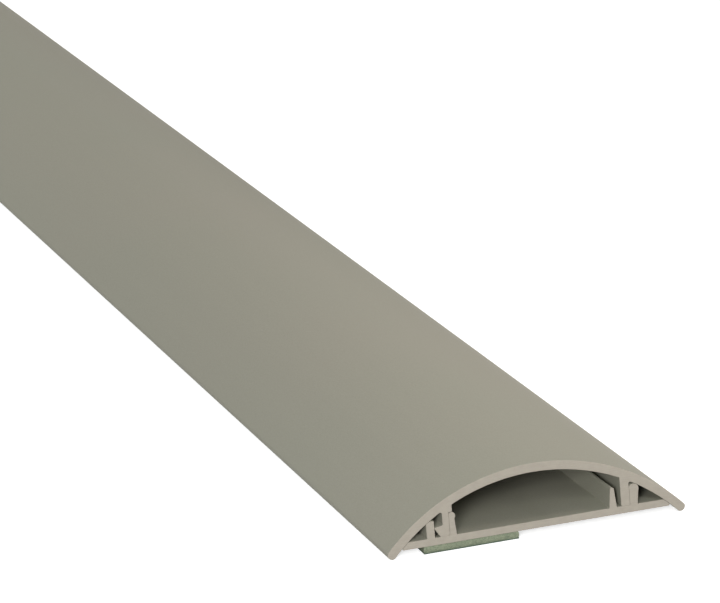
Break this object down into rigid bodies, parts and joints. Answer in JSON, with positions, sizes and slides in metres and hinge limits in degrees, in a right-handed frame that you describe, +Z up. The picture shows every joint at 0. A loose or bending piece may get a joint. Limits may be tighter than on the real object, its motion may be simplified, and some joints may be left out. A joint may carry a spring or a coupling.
{
  "type": "cable protector ramp",
  "caption": "Low arched floor cable protector: a clip-on cover over a flat ribbed base that foam tape holds down, with a wide channel for cables between the ribs.",
  "frame": {"origin": "on the floor, under the middle of the ramp", "axes": "+X along the ramp, towards the end that the picture shows; +Y across it, towards the plain leg; +Z up"},
  "size_m": [1, 0.075, 0.018],
  "materials": {
    "cover_pvc": "satin",
    "base_pvc": "satin",
    "tape_foam": "matte",
    "liner_film": "satin"
  },
  "bodies": {
    "base": {"base": "base_pvc", "left_tape": "tape_foam", "right_tape": "tape_foam", "left_liner": "liner_film", "right_liner": "liner_film"},
    "cover": {"cover": "cover_pvc"}
  },
  "joints": [
    {"name": "cover_lift", "type": "slide", "parent": "base", "child": "cover", "axis": [0, 0, 1], "range_m": [0, 0.06]}
  ]
}
